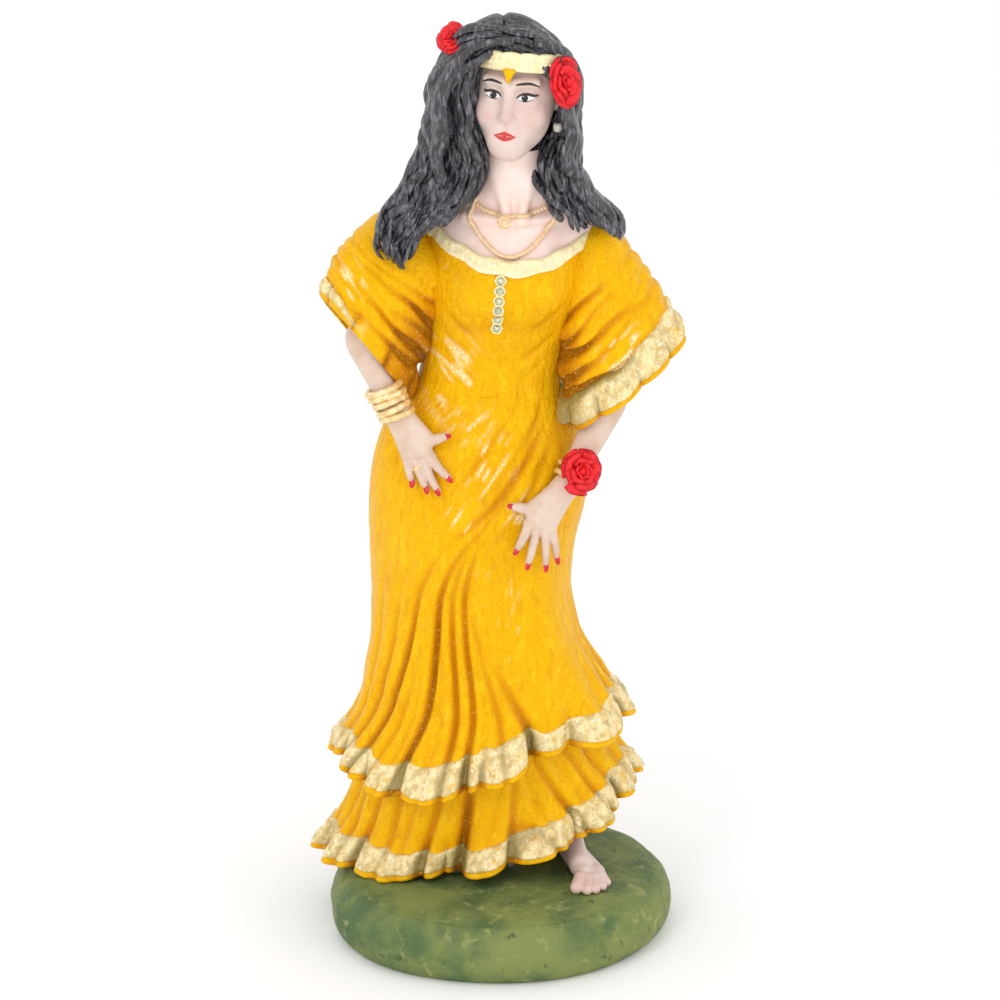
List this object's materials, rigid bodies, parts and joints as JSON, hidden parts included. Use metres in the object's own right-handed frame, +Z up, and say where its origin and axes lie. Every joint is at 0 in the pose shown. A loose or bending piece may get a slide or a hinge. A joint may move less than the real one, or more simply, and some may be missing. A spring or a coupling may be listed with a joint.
{
  "type": "papier-mache figure",
  "caption": "Painted standing lady figure in a two-tier flounced gown with flutter sleeves, long loose hair, roses and jewellery, on a round moss-green base.",
  "frame": {"origin": "centre of the base's flat underside", "axes": "+Z up through the head, -Y the way the face looks, +X to the left hand side of the figure"},
  "size_m": [0.1208, 0.112, 0.3],
  "materials": {
    "base_paint": "satin",
    "steel_wire": "satin",
    "paper_pulp": "matte",
    "flesh_paint": "satin",
    "gown_paint": "gloss",
    "gold_paint": "gloss",
    "cream_paint": "gloss",
    "hair_paint": "gloss",
    "red_paint": "satin",
    "nail_varnish": "gloss",
    "brass_wire": "polished",
    "stone_glass": "gloss",
    "pearl": "gloss"
  },
  "bodies": {
    "root": {"base_plinth": "base_paint", "armature_post": "steel_wire", "right_arm_wire": "steel_wire", "left_arm_wire": "steel_wire", "foot_pin": "steel_wire", "skirt_core": "paper_pulp", "torso": "flesh_paint", "left_foot": "flesh_paint", "skirt": "gown_paint", "skirt_trim": "gold_paint", "flounce": "gown_paint", "flounce_trim": "gold_paint", "bodice": "gown_paint", "neckline_trim": "cream_paint", "front_studs": "stone_glass", "right_sleeve": "gown_paint", "left_sleeve": "gown_paint", "right_sleeve_trim": "gold_paint", "left_sleeve_trim": "gold_paint", "right_arm": "flesh_paint", "left_arm": "flesh_paint", "right_hand": "flesh_paint", "left_hand": "flesh_paint", "right_nails": "nail_varnish", "left_nails": "nail_varnish", "right_bangles": "brass_wire", "left_bracelet": "brass_wire", "wrist_rose": "red_paint", "finger_ring": "brass_wire", "head": "flesh_paint", "left_earring": "pearl", "tiara": "cream_paint", "tiara_drop": "brass_wire", "hair_cap": "hair_paint", "hair_back": "hair_paint", "hair_right": "hair_paint", "hair_left": "hair_paint", "right_hair_rose": "red_paint", "left_hair_rose": "red_paint", "necklace_short": "brass_wire", "necklace_long": "brass_wire", "pendant": "brass_wire"}
  },
  "joints": []
}
